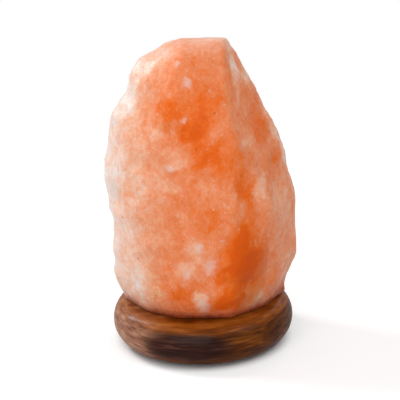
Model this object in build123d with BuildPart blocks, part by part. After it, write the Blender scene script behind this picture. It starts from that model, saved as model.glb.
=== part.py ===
from build123d import *
import os
from math import atan2, cos, degrees, hypot, radians, sin, sqrt

# Salt crystal lamp: a rough-hewn block of rock salt, bored from below, on a turned
# wooden base. A small screw-cap lamp holder stands in the bore and is held there by two
# sprung wire wings, so that holder and bulb pull out together through the base.
#
# Millimetres. The origin is the centre of the base on the surface it stands on,
# +Z is up and -Y is the front. The cord groove runs out to the back, +Y.

os.makedirs("parts", exist_ok=True)

# ---------------------------------------------------------------- driving dimensions

# Turned wooden base
BASE_DIAMETER = 110.0
BASE_THICKNESS = 25.0
RIM_DEPTH = 10.0            # how far the full bullnose reaches in from the edge
RIM_SHOULDER = 8.5          # radius of its two shoulders, tighter than its nose
BORE_CLEARANCE = 1.6        # radial, round the lamp holder's ears as it is pushed in
BORE_EDGE_BREAK = 1.0
GROOVE_WIDTH = 9.0
GROOVE_DEPTH = 9.0

# Rubber feet
FOOT_DIAMETER = 10.0
FOOT_HEIGHT = 2.0
FOOT_INSET = 16.0           # from the base's edge to a foot's centre
FOOT_COUNT = 4
FOOT_EDGE = 0.5

# Screws that hold the crystal down
SCREW_COUNT = 3
SCREW_WALL = 4.5            # of crystal, between the cavity and a screw
SCREW_DIAMETER = 4.0
SCREW_LENGTH = 28.0
SCREW_HEAD_DIAMETER = 7.6
SCREW_HEAD_HEIGHT = 2.4
SCREW_POINT = 3.0           # length of the tapered point
SCREW_RECESS_DEPTH = 10.0   # how deep the heads sit in the wood
SCREW_START_ANGLE = -90.0

# Salt crystal
CRYSTAL_HEIGHT = 163.0
CAVITY_MARGIN = 3.0         # radial, by which the cavity is wider than the base's bore
CAVITY_DEPTH = 85.0
CAVITY_CORNER = 6.0         # radius that the drill leaves at the cavity's blind end

# Lamp holder
HOLDER_DIAMETER = 28.0
HOLDER_LIFT = 12.0          # room under the holder, where the cord turns into the groove
CAP_HEIGHT = 13.0
CAP_WALL = 1.6
CAP_FLOOR = 2.0
CORD_HOLE_DIAMETER = 7.0
CORD_COLLAR_WALL = 1.8
CORD_COLLAR_HEIGHT = 4.0
SHELL_HEIGHT = 26.0
NECK_CLEARANCE = 1.0        # radial, between the shell's neck and the liner
SHELL_LIP_ROUND = 1.5
GRIP_FLUTE_COUNT = 8
GRIP_FLUTE_RADIUS = 1.2

# Terminal block and contacts
BLOCK_HEIGHT = 12.0
BLOCK_RISE = 6.0            # how far the block stands up into the shell
CLAMP_LENGTH = 5.0
CLAMP_WIDTH = 6.0
CLAMP_HEIGHT = 6.0
CLAMP_SPREAD = 14.0         # distance between the two clamps' centres
WIRE_HOLE_DIAMETER = 2.2
TERMINAL_SCREW_DIAMETER = 2.5
TERMINAL_HEAD_DIAMETER = 4.0
TERMINAL_HEAD_HEIGHT = 1.6
RIVET_DIAMETER = 2.0
RIVET_HEAD_DIAMETER = 3.2
RIVET_HEAD_HEIGHT = 0.5
CONTACT_STRIP = 0.5         # thickness of the brass strip
CONTACT_WIDTH = 3.2
CONTACT_RISE = 2.0          # how far the leaf stands above the block
LINER_WALL = 0.4
LINER_HEIGHT = 16.0
LINER_FLANGE_WIDTH = 3.45

# Bulb: a small pilot bulb with a screw cap of 14 mm and a lead of 2.82 mm
BULB_DIAMETER = 22.0
BULB_LENGTH = 49.0
BULB_CAP_DIAMETER = 13.2
BULB_CAP_HEIGHT = 15.5
BULB_CAP_WALL = 0.4
GLASS_WALL = 0.7
INSULATOR_HEIGHT = 1.6
INSULATOR_FOOT_DIAMETER = 7.0
TIP_DIAMETER = 4.8
TIP_HEIGHT = 0.7
STEM_DIAMETER = 3.6
STEM_RISE = 8.0             # how far the glass stem stands above the cap
LEAD_DIAMETER = 0.6
LEAD_SPREAD = 9.0
LEAD_RISE = 9.0
FILAMENT_DIAMETER = 0.5
FILAMENT_CROWN = 3.0        # how far the filament's arch stands above its leads
SUPPORT_DIAMETER = 0.4

# Bracket and sprung wire wings
BRACKET_SHEET = 1.0
EAR_LENGTH = 4.0            # across the lamp, in X
EAR_GAP = 13.0              # clear distance between the two ears
EAR_DROP = 18.0             # from the bracket's top face to the ears' rounded lower end
EAR_STAND_OFF = 1.0         # gap between the holder and the ears
PIVOT_ABOVE_EAR_END = 2.0
WING_WIRE = 1.6
WING_RISE = 12.0            # from the pivot to the crossbar
WING_BEND = 1.6             # bend radius on the wire's centre line
WING_PIN_END = 1.0          # how far the pins stand out of the ears

# Clearances
SEAT_GAP = 0.1              # between faces that are clamped or stand on each other
SLIP_GAP = 0.3              # radial, between a loose piece and the hole that it sits in
PIN_GAP = 0.08              # radial, between the wing's pins and the ears
SCREW_GAP = 0.05            # radial, between a screw and its pilot hole
WALL_GAP = 0.3              # between a wing's crossbar and the bore's wall
THREAD_GAP = 0.55           # radial, between the bulb's cap and the liner, thread left out

# The crystal's sections, each seen from above. Its left and right are the outline in
# front view, its front and back the one from the side. The ridge is the upright edge
# that parts the broad front face from the one turned away to the right.
#   height, left, right, front, back, ridge x, ridge y
CRYSTAL_SECTIONS = [
    (0, -47, 51, -37, 40, 17, -38),
    (8, -51, 54, -41, 43, 20, -42),
    (20, -53, 57, -44, 46, 23, -45),
    (36, -54, 58, -46, 48, 25, -46),
    (54, -54, 58, -46, 49, 26, -46),
    (72, -56, 56, -45, 48, 26, -45),
    (88, -57, 53, -43, 46, 25, -43),
    (104, -53, 48, -41, 43, 24, -41),
    (118, -50, 42, -38, 40, 24, -38),
    (130, -44, 37, -35, 36, 24, -34),
    (141, -39, 30, -31, 32, 23, -30),
    (151, -32, 25, -26, 25, 22, -24),
    (159, -21, 22, -19, 16, 20, -17),
    (163, -10, 19, -12, 6, 17, -11),
]
# The other corners, anticlockwise from the ridge, as shares of the section's reach to
# right and left (+ and - X) and to back and front (+ and - Y)
CORNER_SHARES = [
    (0.74, -0.57), (1.00, 0.06), (0.80, 0.70), (0.26, 1.00), (-0.36, 0.95), (-0.82, 0.62),
    (-1.00, -0.07), (-0.71, -0.64), (-0.30, -0.97),
]

# Flat cleavage faces: the height and bearing at which each one lies, how far from the
# lamp's axis, and the upward tilt of the face.
#   bearing, distance, height, tilt
CLEAVES = [
    (-52, 48.0, 52, 4),     # face turned away to the right of the ridge
    (-112, 44.5, 74, 6),    # broad front face
    (-158, 50.0, 96, 10),   # left flank
    (168, 45.0, 122, 26),   # shoulder behind the left flank
    (38, 46.5, 92, 16),     # right, behind
    (112, 44.5, 66, 3),     # back
    (100, 30.0, 143, 32),   # back of the crown
    (-75, 28.0, 143, 27),   # front of the crown
]

# Smaller facets hewn off the upright edges between the faces: how deep each one is cut
# below the edge, and by how many degrees its face leans outwards at the top
#   bearing, height, depth, lean
FACETS = [
    (-60, 14, 1.8, -5), (-60, 66, 1.3, 2), (-60, 124, 1.8, 3),
    (-31, 40, 1.8, 3), (-31, 96, 2.2, -4),
    (36, 52, 2.2, -3), (36, 120, 2.0, 4),
    (73, 24, 2.0, 5), (73, 98, 2.4, -3),
    (113, 58, 2.2, 4), (113, 122, 1.8, -4),
    (146, 22, 2.0, -4), (146, 84, 2.4, 3),
    (-143, 28, 2.0, 4), (-143, 82, 1.6, -3), (-143, 130, 2.0, 3),
    (-111, 46, 1.4, -2), (-111, 112, 1.8, 4),
]

# Shallow shell-shaped scars that a chisel leaves. They wind up the crystal.
SCAR_COUNT = 14
SCAR_RADIUS = 24.0
SCAR_DEPTH = 1.3
SCAR_FIRST_HEIGHT = 22.0
SCAR_LAST_HEIGHT = 138.0
SCAR_TURN = 137.5
SCAR_START = -126.0
TOP_SECTION = CRYSTAL_SECTIONS[-1][0]

# ---------------------------------------------------------------- derived places

BASE_RADIUS = BASE_DIAMETER / 2
FOOT_CIRCLE = BASE_DIAMETER - 2 * FOOT_INSET
WOOD_BOTTOM = FOOT_HEIGHT
WOOD_TOP = WOOD_BOTTOM + BASE_THICKNESS
CAVITY_TOP = WOOD_TOP + CAVITY_DEPTH
SCREW_SEAT = WOOD_BOTTOM + SCREW_RECESS_DEPTH
SCREW_TIP = SCREW_SEAT + SCREW_LENGTH

HOLDER_RADIUS = HOLDER_DIAMETER / 2
CAP_INNER_RADIUS = HOLDER_RADIUS - CAP_WALL
CAP_BOTTOM = WOOD_BOTTOM + HOLDER_LIFT
CAP_TOP = CAP_BOTTOM + CAP_HEIGHT
BRACKET_TOP = CAP_TOP + BRACKET_SHEET
SHELL_BOTTOM = BRACKET_TOP
SHELL_TOP = SHELL_BOTTOM + SHELL_HEIGHT
BLOCK_RADIUS = CAP_INNER_RADIUS - SLIP_GAP
BLOCK_TOP = SHELL_BOTTOM + BLOCK_RISE
BLOCK_BOTTOM = BLOCK_TOP - BLOCK_HEIGHT
FLANGE_TOP = BLOCK_TOP + CONTACT_STRIP
SHELL_STEP = FLANGE_TOP + SEAT_GAP
CLAMP_BOTTOM = BLOCK_BOTTOM + TERMINAL_HEAD_HEIGHT

BULB_CAP_RADIUS = BULB_CAP_DIAMETER / 2
LINER_INNER_RADIUS = BULB_CAP_RADIUS + THREAD_GAP
LINER_OUTER_RADIUS = LINER_INNER_RADIUS + LINER_WALL
BULB_BOTTOM = BLOCK_TOP + CONTACT_RISE + SEAT_GAP
INSULATOR_BOTTOM = BULB_BOTTOM + TIP_HEIGHT
BULB_CAP_BOTTOM = INSULATOR_BOTTOM + INSULATOR_HEIGHT / 2
BULB_CAP_TOP = BULB_CAP_BOTTOM + BULB_CAP_HEIGHT
BULB_TOP = BULB_BOTTOM + BULB_LENGTH
BULB_RADIUS = BULB_DIAMETER / 2
NECK_RADIUS = BULB_CAP_RADIUS - BULB_CAP_WALL - SEAT_GAP
NECK_INNER_RADIUS = NECK_RADIUS - GLASS_WALL
STEM_TOP = BULB_CAP_TOP + STEM_RISE
LEAD_TOP = STEM_TOP + LEAD_RISE
CENTRE_RIVET_X = -LINER_INNER_RADIUS + RIVET_HEAD_DIAMETER / 2 + SLIP_GAP
LINER_FLANGE_DIAMETER = 2 * (LINER_OUTER_RADIUS + LINER_FLANGE_WIDTH)
SHELL_NECK_BORE = 2 * (LINER_OUTER_RADIUS + NECK_CLEARANCE)
FLANGE_RIVET_X = (LINER_OUTER_RADIUS + LINER_FLANGE_DIAMETER / 2) / 2

EAR_INNER_X = HOLDER_RADIUS + EAR_STAND_OFF
EAR_OUTER_X = EAR_INNER_X + EAR_LENGTH
EAR_BOTTOM = BRACKET_TOP - EAR_DROP
PIVOT_X = (EAR_INNER_X + EAR_OUTER_X) / 2
PIVOT_Z = EAR_BOTTOM + PIVOT_ABOVE_EAR_END
# The ears' outer corners set the bore, the bore the cavity, and the cavity the screws.
BORE_DIAMETER = 2 * (hypot(EAR_OUTER_X, EAR_GAP / 2 + BRACKET_SHEET) + BORE_CLEARANCE)
BORE_RADIUS = BORE_DIAMETER / 2
CAVITY_DIAMETER = BORE_DIAMETER + 2 * CAVITY_MARGIN
SCREW_CIRCLE = CAVITY_DIAMETER + 2 * SCREW_WALL + SCREW_DIAMETER
WIRE_RADIUS = WING_WIRE / 2
ARM_Y = EAR_GAP / 2 - WING_BEND - SLIP_GAP
PIN_END_Y = EAR_GAP / 2 + BRACKET_SHEET + WING_PIN_END
# The crossbar's corners come nearest to the round bore, so they set how far out it is.
CROSSBAR_X = sqrt((BORE_RADIUS - WALL_GAP - WIRE_RADIUS) ** 2 - ARM_Y**2)
CROSSBAR_Z = PIVOT_Z + WING_RISE


# ---------------------------------------------------------------- helpers

def ring(inner, outer, bottom, top):
    """A plain tube, or a disc where inner is 0."""
    with BuildPart() as piece:
        with BuildSketch(Plane.XY.offset(bottom)):
            Circle(outer)
            if inner > 0:
                Circle(inner, mode=Mode.SUBTRACT)
        extrude(amount=top - bottom)
    return piece.part


def turned(points):
    """A solid turned about the Z axis from a closed outline of (radius, height)."""
    with BuildPart() as piece:
        with BuildSketch(Plane.XZ):
            with BuildLine():
                Polyline(*points, close=True)
            make_face()
        revolve(axis=Axis.Z)
    return piece.part


def wire_along(path, radius):
    """A round wire swept along a path."""
    with BuildPart() as piece:
        with BuildSketch(Plane(origin=path @ 0, z_dir=path % 0)):
            Circle(radius)
        sweep(path=path)
    return piece.part


def save(part, name):
    """Label a finished piece and write it as its own file."""
    part.label = name
    export_step(part, f"parts/{name}.step")


# ---------------------------------------------------------------- base

def make_wooden_base():
    # The rim is an oval of three tangent arcs: a shoulder, the nose and a shoulder.
    half = BASE_THICKNESS / 2
    middle = WOOD_BOTTOM + half
    shoulder_x = BASE_RADIUS - RIM_DEPTH
    rise = half - RIM_SHOULDER
    nose = (RIM_DEPTH**2 + rise**2 - RIM_SHOULDER**2) / (2 * (RIM_DEPTH - RIM_SHOULDER))
    nose_x = BASE_RADIUS - nose
    joint = degrees(atan2(rise, shoulder_x - nose_x))
    with BuildPart() as base:
        with BuildSketch(Plane.XZ):
            with BuildLine():
                low = CenterArc((shoulder_x, middle - rise), RIM_SHOULDER, -90, 90 - joint)
                CenterArc((nose_x, middle), nose, -joint, 2 * joint)
                top = CenterArc((shoulder_x, middle + rise), RIM_SHOULDER, joint, 90 - joint)
                Polyline(top @ 1, (BORE_RADIUS, WOOD_TOP), (BORE_RADIUS, WOOD_BOTTOM), low @ 0)
            make_face()
        revolve(axis=Axis.Z)
        bore_wall = base.faces().filter_by(GeomType.CYLINDER)[0]
        chamfer(bore_wall.edges().filter_by(GeomType.CIRCLE), BORE_EDGE_BREAK)
        # Cord groove, from the bore out to the back
        with BuildSketch(Plane.XY.offset(WOOD_BOTTOM)):
            with Locations((0, BASE_RADIUS / 2)):
                Rectangle(GROOVE_WIDTH, BASE_RADIUS)
        extrude(amount=GROOVE_DEPTH, mode=Mode.SUBTRACT)
        # Recessed screw holes, bored from below
        with Locations(Plane.XY.offset(WOOD_BOTTOM).rotated((180, 0, 0))):
            with PolarLocations(SCREW_CIRCLE / 2, SCREW_COUNT, start_angle=-SCREW_START_ANGLE):
                CounterBoreHole(
                    SCREW_DIAMETER / 2 + SLIP_GAP,
                    SCREW_HEAD_DIAMETER / 2 + SLIP_GAP,
                    SCREW_RECESS_DEPTH,
                    depth=BASE_THICKNESS,
                )
    save(base.part, "wooden_base")


def make_feet():
    with BuildPart() as feet:
        with BuildSketch(Plane.XY.offset(FOOT_HEIGHT)):
            with PolarLocations(FOOT_CIRCLE / 2, FOOT_COUNT, start_angle=45):
                Circle(FOOT_DIAMETER / 2)
        extrude(amount=-FOOT_HEIGHT)
        chamfer(feet.edges().group_by(Axis.Z)[0], FOOT_EDGE)
    save(feet.part, "rubber_feet")


def make_fixing_screws():
    radius = SCREW_DIAMETER / 2
    head = SCREW_HEAD_DIAMETER / 2
    head_bottom = SCREW_SEAT - SEAT_GAP - SCREW_HEAD_HEIGHT
    outline = [
        (0, head_bottom),
        (head * 0.8, head_bottom),
        (head, head_bottom + SCREW_HEAD_HEIGHT * 0.4),
        (head, SCREW_SEAT - SEAT_GAP),
        (radius, SCREW_SEAT - SEAT_GAP),
        (radius, SCREW_TIP - SCREW_POINT),
        (0, SCREW_TIP),
    ]
    screw = turned(outline)
    with BuildPart() as screws:
        with PolarLocations(SCREW_CIRCLE / 2, SCREW_COUNT, start_angle=SCREW_START_ANGLE):
            add(screw)
    save(screws.part, "fixing_screws")


# ---------------------------------------------------------------- crystal

def section_corners(left, right, front, back, ridge_x, ridge_y):
    """One section's corners, anticlockwise from the ridge."""
    corners = [(ridge_x, ridge_y)]
    for across, along in CORNER_SHARES:
        x = across * right if across > 0 else -across * left
        y = along * back if along > 0 else -along * front
        corners.append((x, y))
    return corners


def crystal_point(bearing, height):
    """The point on the crystal's outline at a bearing, at a height above the wood on the
    scale of the sections, which lie evenly between their neighbours."""
    above = next(i for i, s in enumerate(CRYSTAL_SECTIONS) if s[0] >= height or s[0] == TOP_SECTION)
    low, high = CRYSTAL_SECTIONS[max(above - 1, 0)], CRYSTAL_SECTIONS[above]
    share = (height - low[0]) / (high[0] - low[0]) if above else 0
    corners = section_corners(*[a + share * (b - a) for a, b in zip(low[1:], high[1:])])
    along = Vector(cos(radians(bearing)), sin(radians(bearing)), 0)
    for start, end in zip(corners, corners[1:] + corners[:1]):
        side = Vector(*end, 0) - Vector(*start, 0)
        turn = along.cross(side).Z
        reach = Vector(*start, 0).cross(side).Z / turn
        place = Vector(*start, 0).cross(along).Z / turn
        if reach > 0 and 0 <= place <= 1:
            return along * reach + Vector(0, 0, height)


def make_salt_crystal():
    scale = CRYSTAL_HEIGHT / TOP_SECTION
    with BuildPart() as crystal:
        for height, *sides in CRYSTAL_SECTIONS:
            with BuildSketch(Plane.XY.offset(WOOD_TOP + SEAT_GAP + height * scale)):
                with BuildLine():
                    Polyline(*section_corners(*sides), close=True)
                make_face()
        loft()
        # Cleavage faces
        for bearing, distance, height, tilt in CLEAVES:
            a, t = radians(bearing), radians(tilt)
            foot = (distance * cos(a), distance * sin(a), WOOD_TOP + height * scale)
            normal = (cos(a) * cos(t), sin(a) * cos(t), sin(t))
            split(bisect_by=Plane(origin=foot, z_dir=normal), keep=Keep.BOTTOM)
        # Facets, each square to the outline's run round the crystal and up it
        for bearing, height, depth, lean in FACETS:
            point = crystal_point(bearing, height)
            round_it = crystal_point(bearing + 5, height) - crystal_point(bearing - 5, height)
            up_it = crystal_point(bearing, height + 6) - crystal_point(bearing, height - 6)
            normal = round_it.cross(up_it).normalized()
            normal = normal.rotate(Axis((0, 0, 0), round_it), lean)
            foot = point - normal * depth
            foot = Vector(foot.X, foot.Y, WOOD_TOP + foot.Z * scale)
            split(bisect_by=Plane(origin=foot, z_dir=normal), keep=Keep.BOTTOM)
        # Chisel scars
        rise = (SCAR_LAST_HEIGHT - SCAR_FIRST_HEIGHT) / (SCAR_COUNT - 1)
        for i in range(SCAR_COUNT):
            bearing = SCAR_START + i * SCAR_TURN
            height = SCAR_FIRST_HEIGHT + i * rise
            point = crystal_point(bearing, height)
            out = hypot(point.X, point.Y) - SCAR_DEPTH + SCAR_RADIUS
            a = radians(bearing)
            spot = (out * cos(a), out * sin(a), WOOD_TOP + height * scale)
            with Locations(spot):
                Sphere(SCAR_RADIUS, mode=Mode.SUBTRACT)
        # The bored cavity, open at the bottom
        with BuildSketch(Plane.XZ):
            with BuildLine():
                corner = JernArc(
                    (CAVITY_DIAMETER / 2, CAVITY_TOP - CAVITY_CORNER), (0, 1), CAVITY_CORNER, 90
                )
                Polyline(
                    corner @ 1, (0, CAVITY_TOP), (0, WOOD_TOP), (CAVITY_DIAMETER / 2, WOOD_TOP),
                    corner @ 0,
                )
            make_face()
        revolve(axis=Axis.Z, mode=Mode.SUBTRACT)
        # Pilot holes for the screws
        with BuildSketch(Plane.XY.offset(WOOD_TOP)):
            with PolarLocations(SCREW_CIRCLE / 2, SCREW_COUNT, start_angle=SCREW_START_ANGLE):
                Circle(SCREW_DIAMETER / 2 + SCREW_GAP)
        extrude(amount=SCREW_TIP + SLIP_GAP - WOOD_TOP, mode=Mode.SUBTRACT)
    save(crystal.part, "salt_crystal")


# ---------------------------------------------------------------- lamp holder

def grip_flutes(bottom, height):
    """Upright rods round the holder, which cut its finger flutes."""
    with BuildPart() as flutes:
        with BuildSketch(Plane.XY.offset(bottom)):
            with PolarLocations(HOLDER_RADIUS, GRIP_FLUTE_COUNT):
                Circle(GRIP_FLUTE_RADIUS)
        extrude(amount=height)
    return flutes.part


def make_holder_cap():
    collar = CORD_HOLE_DIAMETER / 2 + CORD_COLLAR_WALL
    flutes = grip_flutes(CAP_BOTTOM + CAP_WALL * 2, CAP_HEIGHT - CAP_WALL * 4)
    with BuildPart() as cap:
        with BuildSketch(Plane.XY.offset(CAP_BOTTOM)):
            Circle(HOLDER_RADIUS)
        extrude(amount=CAP_HEIGHT - SEAT_GAP)
        chamfer(cap.edges().group_by(Axis.Z)[0], CAP_WALL * 0.8)
        with BuildSketch(Plane.XY.offset(CAP_BOTTOM + CAP_FLOOR)):
            Circle(CAP_INNER_RADIUS)
        extrude(amount=CAP_HEIGHT, mode=Mode.SUBTRACT)
        with BuildSketch(Plane.XY.offset(CAP_BOTTOM)):
            Circle(collar)
        extrude(amount=CORD_COLLAR_HEIGHT)
        with Locations((0, 0, CAP_BOTTOM)):
            Hole(CORD_HOLE_DIAMETER / 2, depth=CAP_HEIGHT, mode=Mode.SUBTRACT)
        add(flutes, mode=Mode.SUBTRACT)
    save(cap.part, "holder_cap")


def make_holder_shell():
    neck = SHELL_NECK_BORE / 2
    flutes = grip_flutes(SHELL_BOTTOM + CAP_WALL * 2, SHELL_HEIGHT / 2)
    with BuildPart() as shell:
        with BuildSketch(Plane.XZ):
            with BuildLine():
                Polyline(
                    (CAP_INNER_RADIUS, SHELL_BOTTOM),
                    (HOLDER_RADIUS, SHELL_BOTTOM),
                    (HOLDER_RADIUS, SHELL_TOP),
                    (neck, SHELL_TOP),
                    (neck, SHELL_STEP),
                    (CAP_INNER_RADIUS, SHELL_STEP),
                    close=True,
                )
            make_face()
        revolve(axis=Axis.Z)
        fillet(shell.edges().group_by(Axis.Z)[-1], SHELL_LIP_ROUND)
        add(flutes, mode=Mode.SUBTRACT)
    save(shell.part, "holder_shell")


def make_terminal_block():
    with BuildPart() as block:
        with BuildSketch(Plane.XY.offset(BLOCK_BOTTOM)):
            Circle(BLOCK_RADIUS)
        extrude(amount=BLOCK_HEIGHT)
        # Pockets for the clamps and their screws, open below
        with BuildSketch(Plane.XY.offset(BLOCK_BOTTOM)):
            with GridLocations(CLAMP_SPREAD, 0, 2, 1):
                Rectangle(CLAMP_LENGTH + SEAT_GAP * 2, CLAMP_WIDTH + SEAT_GAP * 2)
        extrude(amount=CLAMP_BOTTOM + CLAMP_HEIGHT + SEAT_GAP - BLOCK_BOTTOM, mode=Mode.SUBTRACT)
        # Rivet holes
        with BuildSketch(Plane.XY.offset(BLOCK_BOTTOM)):
            with Locations((CENTRE_RIVET_X, 0), (FLANGE_RIVET_X, 0)):
                Circle(RIVET_DIAMETER / 2 + SCREW_GAP)
        extrude(amount=BLOCK_HEIGHT, mode=Mode.SUBTRACT)
    save(block.part, "terminal_block")


def make_terminals():
    middle = CLAMP_BOTTOM + CLAMP_HEIGHT / 2
    with BuildPart() as clamps:
        with BuildSketch(Plane.XY.offset(CLAMP_BOTTOM)):
            with GridLocations(CLAMP_SPREAD, 0, 2, 1):
                Rectangle(CLAMP_LENGTH, CLAMP_WIDTH)
                Circle(TERMINAL_SCREW_DIAMETER / 2 + SCREW_GAP, mode=Mode.SUBTRACT)
        extrude(amount=CLAMP_HEIGHT)
        # Wire holes, from front to back above the screw's end
        with BuildSketch(Plane.XZ.offset(-CLAMP_WIDTH)):
            with Locations((-CLAMP_SPREAD / 2, middle), (CLAMP_SPREAD / 2, middle)):
                Circle(WIRE_HOLE_DIAMETER / 2)
        extrude(amount=CLAMP_WIDTH * 2, mode=Mode.SUBTRACT)
    save(clamps.part, "terminal_clamps")

    with BuildPart() as screws:
        with BuildSketch(Plane.XY.offset(CLAMP_BOTTOM - SEAT_GAP)):
            with GridLocations(CLAMP_SPREAD, 0, 2, 1):
                Circle(TERMINAL_HEAD_DIAMETER / 2)
        extrude(amount=-TERMINAL_HEAD_HEIGHT)
        with BuildSketch(Plane.XY.offset(CLAMP_BOTTOM - SEAT_GAP)):
            with GridLocations(CLAMP_SPREAD, 0, 2, 1):
                Circle(TERMINAL_SCREW_DIAMETER / 2)
        extrude(amount=CLAMP_HEIGHT / 2)
        # Screwdriver slots
        with BuildSketch(Plane.XY.offset(CLAMP_BOTTOM - SEAT_GAP - TERMINAL_HEAD_HEIGHT)):
            with GridLocations(CLAMP_SPREAD, 0, 2, 1):
                Rectangle(TERMINAL_HEAD_DIAMETER, TERMINAL_HEAD_HEIGHT * 0.4)
        extrude(amount=TERMINAL_HEAD_HEIGHT * 0.5, mode=Mode.SUBTRACT)
    save(screws.part, "terminal_screws")


def make_rivets():
    """One rivet holds the centre contact, the other the threaded liner's flange."""
    start = CLAMP_BOTTOM + CLAMP_HEIGHT + SEAT_GAP * 2
    with BuildPart() as rivets:
        with BuildSketch(Plane.XY.offset(start)):
            with Locations((CENTRE_RIVET_X, 0), (FLANGE_RIVET_X, 0)):
                Circle(RIVET_DIAMETER / 2)
        extrude(amount=FLANGE_TOP - start)
        with BuildSketch(Plane.XY.offset(FLANGE_TOP)):
            with Locations((CENTRE_RIVET_X, 0)):
                Circle(RIVET_HEAD_DIAMETER / 2)
        extrude(amount=RIVET_HEAD_HEIGHT)
    save(rivets.part, "contact_rivets")


def make_centre_contact():
    """A brass leaf that lies on the block and arches up under the bulb's tip."""
    strip = CONTACT_STRIP
    start = CENTRE_RIVET_X - RIVET_HEAD_DIAMETER / 2
    bend = CENTRE_RIVET_X + RIVET_HEAD_DIAMETER / 2 + SLIP_GAP
    top = BLOCK_TOP + CONTACT_RISE
    reach = TIP_DIAMETER / 2
    with BuildPart() as leaf:
        with BuildSketch(Plane.XZ):
            with BuildLine():
                Polyline(
                    (start, BLOCK_TOP),
                    (bend, BLOCK_TOP),
                    (-reach / 2, top - strip),
                    (reach / 2, top - strip),
                    (reach * 1.5, BLOCK_TOP + strip),
                    (reach * 1.5 + strip, BLOCK_TOP + strip),
                    (reach / 2 + strip / 2, top),
                    (-reach / 2 - strip / 2, top),
                    (bend - strip / 2, BLOCK_TOP + strip),
                    (start, BLOCK_TOP + strip),
                    close=True,
                )
            make_face()
        extrude(amount=CONTACT_WIDTH / 2, both=True)
        with Locations((CENTRE_RIVET_X, 0, FLANGE_TOP)):
            Hole(RIVET_DIAMETER / 2 + SCREW_GAP, depth=strip)
    save(leaf.part, "centre_contact")


def make_screw_shell():
    with BuildPart() as liner:
        with BuildSketch(Plane.XY.offset(BLOCK_TOP)):
            Circle(LINER_FLANGE_DIAMETER / 2)
            Circle(LINER_INNER_RADIUS, mode=Mode.SUBTRACT)
            with Locations((FLANGE_RIVET_X, 0)):
                Circle(RIVET_DIAMETER / 2 + SCREW_GAP, mode=Mode.SUBTRACT)
        extrude(amount=CONTACT_STRIP)
        with BuildSketch(Plane.XY.offset(BLOCK_TOP)):
            Circle(LINER_OUTER_RADIUS)
            Circle(LINER_INNER_RADIUS, mode=Mode.SUBTRACT)
        extrude(amount=LINER_HEIGHT)
    save(liner.part, "screw_shell")


# ---------------------------------------------------------------- bracket and wings

def make_clip_bracket():
    ear_y = EAR_GAP / 2
    ear_width = EAR_GAP + 2 * BRACKET_SHEET
    with BuildPart() as bracket:
        # Ring clamped between cap and shell, with a tab on each side
        with BuildSketch(Plane.XY.offset(CAP_TOP)):
            Circle(HOLDER_RADIUS)
            Rectangle(EAR_OUTER_X * 2, ear_width)
            Circle(CAP_INNER_RADIUS, mode=Mode.SUBTRACT)
        extrude(amount=BRACKET_SHEET - SEAT_GAP)
        # Four ears, folded down from the tabs
        ears = Plane.XZ.offset(-ear_y - BRACKET_SHEET)
        with BuildSketch(ears) as ear_outline:
            with Locations((PIVOT_X, (EAR_BOTTOM + CAP_TOP) / 2)):
                Rectangle(EAR_LENGTH, CAP_TOP - EAR_BOTTOM)
            fillet(ear_outline.vertices().group_by(Axis.Z)[0], EAR_LENGTH / 2 - SEAT_GAP)
            with Locations((PIVOT_X, PIVOT_Z)):
                Circle(WIRE_RADIUS + PIN_GAP, mode=Mode.SUBTRACT)
        extrude(amount=BRACKET_SHEET)
        mirror(about=Plane.XZ)
        mirror(about=Plane.YZ)
    save(bracket.part, "clip_bracket")


def make_clip_wings():
    with BuildLine() as path:
        FilletPolyline(
            (PIVOT_X, -PIN_END_Y, PIVOT_Z),
            (PIVOT_X, -ARM_Y, PIVOT_Z),
            (CROSSBAR_X, -ARM_Y, CROSSBAR_Z),
            (CROSSBAR_X, ARM_Y, CROSSBAR_Z),
            (PIVOT_X, ARM_Y, PIVOT_Z),
            (PIVOT_X, PIN_END_Y, PIVOT_Z),
            radius=WING_BEND,
        )
    right = wire_along(path.wire(), WIRE_RADIUS)
    with BuildPart() as wing:
        add(right)
    save(wing.part, "clip_wing_right")
    with BuildPart() as wing:
        add(right.mirror(Plane.YZ))
    save(wing.part, "clip_wing_left")


# ---------------------------------------------------------------- bulb

def make_bulb_glass():
    """A hollow pear: a straight neck, a long flare and a round top, all tangent."""
    bottom = BULB_CAP_BOTTOM + INSULATOR_HEIGHT
    centre = BULB_TOP - BULB_RADIUS
    # The flare's radius is the one that meets both the neck and the round top smoothly.
    step = BULB_RADIUS - NECK_RADIUS
    flare = ((centre - BULB_CAP_TOP) ** 2 / step - BULB_RADIUS - NECK_RADIUS) / 2
    turn = degrees(atan2(centre - BULB_CAP_TOP, NECK_RADIUS + flare))
    with BuildPart() as glass:
        with BuildSketch(Plane.XZ):
            with BuildLine():
                Line((0, bottom), (NECK_RADIUS, bottom))
                Line((NECK_RADIUS, bottom), (NECK_RADIUS, BULB_CAP_TOP))
                CenterArc((NECK_RADIUS + flare, BULB_CAP_TOP), flare, 180, -turn)
                crown = CenterArc((0, centre), BULB_RADIUS, -turn, 90 + turn)
                Line(crown @ 1, (0, bottom))
            make_face()
        revolve(axis=Axis.Z)
        offset(amount=-GLASS_WALL, openings=glass.faces().sort_by(Axis.Z)[0])
    save(glass.part, "bulb_glass")


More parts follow.
